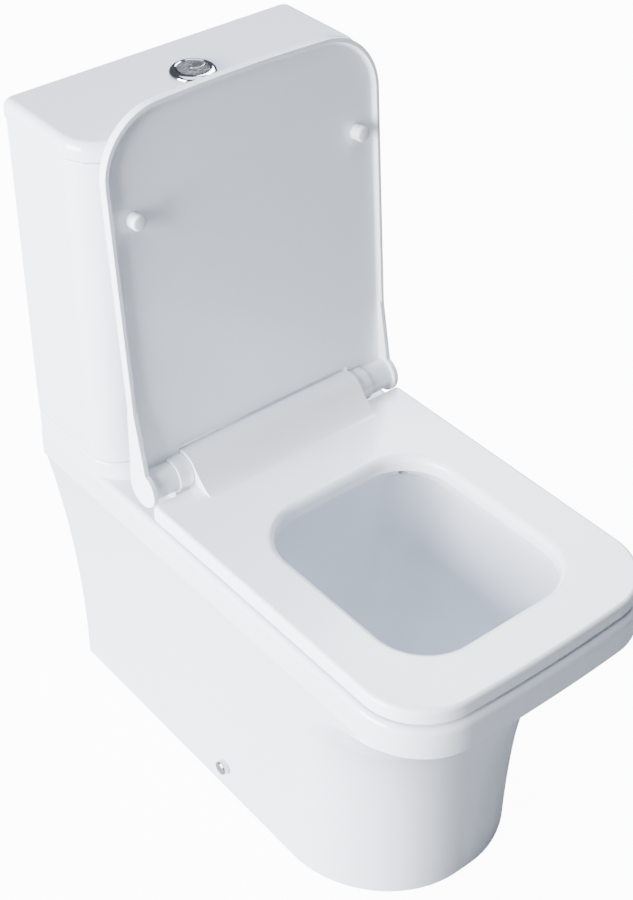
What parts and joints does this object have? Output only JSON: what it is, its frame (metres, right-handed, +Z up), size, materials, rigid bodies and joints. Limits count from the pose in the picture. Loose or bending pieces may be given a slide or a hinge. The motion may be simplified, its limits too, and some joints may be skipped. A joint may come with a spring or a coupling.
{
  "type": "close coupled toilet",
  "caption": "Close coupled toilet with a flared pan, slim cistern, dual flush button and a hinged seat and cover.",
  "frame": {"origin": "on the floor, under the middle of the bounding box", "axes": "+Z up; -Y towards the front of the pan; +X to the right of someone who faces the cistern"},
  "size_m": [0.371, 0.646, 0.8484],
  "materials": {
    "glazed_ceramic": "glossy white glaze",
    "seat_duroplast": "satin gloss",
    "chrome": "bright chrome plate",
    "zinc_plated_steel": "zinc plated",
    "brass": "plain brass",
    "black_rubber": "matt",
    "pale_rubber": "matt",
    "white_plastic": "moulded",
    "blue_plastic": "moulded"
  },
  "bodies": {
    "toilet": {"pan": "glazed_ceramic", "cistern": "glazed_ceramic", "flush_valve_base": "white_plastic", "flush_valve_nut": "white_plastic", "coupling_gasket": "black_rubber", "flush_valve_basket": "blue_plastic", "dual_flush_head": "white_plastic", "fill_valve_washer": "black_rubber", "fill_valve_body": "white_plastic", "fill_valve_nut": "white_plastic", "arm_clevis": "white_plastic", "arm_pin": "zinc_plated_steel", "bolt_seal_left": "black_rubber", "coupling_bolt_left": "zinc_plated_steel", "bolt_washer_left": "zinc_plated_steel", "wing_nut_left": "brass", "hinge_post_left": "seat_duroplast", "hinge_damper_left": "zinc_plated_steel", "hinge_stud_left": "zinc_plated_steel", "hinge_washer_left": "black_rubber", "hinge_nut_left": "white_plastic", "side_cap_left": "chrome", "side_screw_left": "zinc_plated_steel", "floor_bracket_left": "white_plastic", "bolt_seal_right": "black_rubber", "coupling_bolt_right": "zinc_plated_steel", "bolt_washer_right": "zinc_plated_steel", "wing_nut_right": "brass", "hinge_post_right": "seat_duroplast", "hinge_damper_right": "zinc_plated_steel", "hinge_stud_right": "zinc_plated_steel", "hinge_washer_right": "black_rubber", "hinge_nut_right": "white_plastic", "side_cap_right": "chrome", "side_screw_right": "zinc_plated_steel", "floor_bracket_right": "white_plastic"},
    "seat": {"seat": "seat_duroplast", "seat_buffer_rear_left": "pale_rubber", "seat_buffer_rear_right": "pale_rubber", "seat_buffer_front_left": "pale_rubber", "seat_buffer_front_right": "pale_rubber"},
    "cover": {"cover": "seat_duroplast", "cover_buffer_left": "seat_duroplast", "cover_buffer_right": "seat_duroplast"},
    "cistern_lid": {"cistern_lid": "glazed_ceramic", "button_collar": "chrome", "collar_nut": "white_plastic", "full_button_spring": "zinc_plated_steel", "half_button_spring": "zinc_plated_steel"},
    "full_flush": {"full_flush_button": "chrome", "full_push_rod": "white_plastic"},
    "half_flush": {"half_flush_button": "chrome", "half_push_rod": "white_plastic"},
    "flush_plunger": {"flush_piston": "white_plastic", "flush_seal": "black_rubber"},
    "fill_float": {"fill_float": "blue_plastic", "float_rod": "white_plastic"},
    "float_arm": {"float_arm": "white_plastic"}
  },
  "joints": [
    {"name": "cover_hinge", "type": "hinge", "parent": "toilet", "child": "cover", "pos_m": [0, 0.121, 0.4235], "axis": [-1, 0, 0], "range_deg": [-95.5, 0]},
    {"name": "seat_hinge", "type": "hinge", "parent": "toilet", "child": "seat", "pos_m": [0, 0.121, 0.4235], "axis": [-1, 0, 0], "range_deg": [0, 95.5]},
    {"name": "lid_lift", "type": "slide", "parent": "toilet", "child": "cistern_lid", "axis": [0, 0, 1], "range_m": [0, 0.12]},
    {"name": "full_flush_press", "type": "slide", "parent": "cistern_lid", "child": "full_flush", "axis": [0, 0, -1], "range_m": [0, 0.006], "stiffness_N_per_m": 400, "springref_m": -0.004, "deforming": ["full_button_spring"]},
    {"name": "half_flush_press", "type": "slide", "parent": "cistern_lid", "child": "half_flush", "axis": [0, 0, -1], "range_m": [0, 0.006], "stiffness_N_per_m": 400, "springref_m": -0.004, "deforming": ["half_button_spring"]},
    {"name": "flush_valve_lift", "type": "slide", "parent": "toilet", "child": "flush_plunger", "axis": [0, 0, 1], "range_m": [0, 0.018]},
    {"name": "float_rise", "type": "slide", "parent": "toilet", "child": "fill_float", "axis": [0, 0, 1], "range_m": [0, 0.016]},
    {"name": "float_arm_pivot", "type": "hinge", "parent": "toilet", "child": "float_arm", "pos_m": [0.105, 0.25, 0.6855], "axis": [0, -1, 0], "range_deg": [0, 21]}
  ],
  "couplings": [
    {"joint": "flush_valve_lift", "follows": "full_flush_press", "ratio": 3},
    {"joint": "float_arm_pivot", "follows": "float_rise", "rad_per_m": 22}
  ]
}
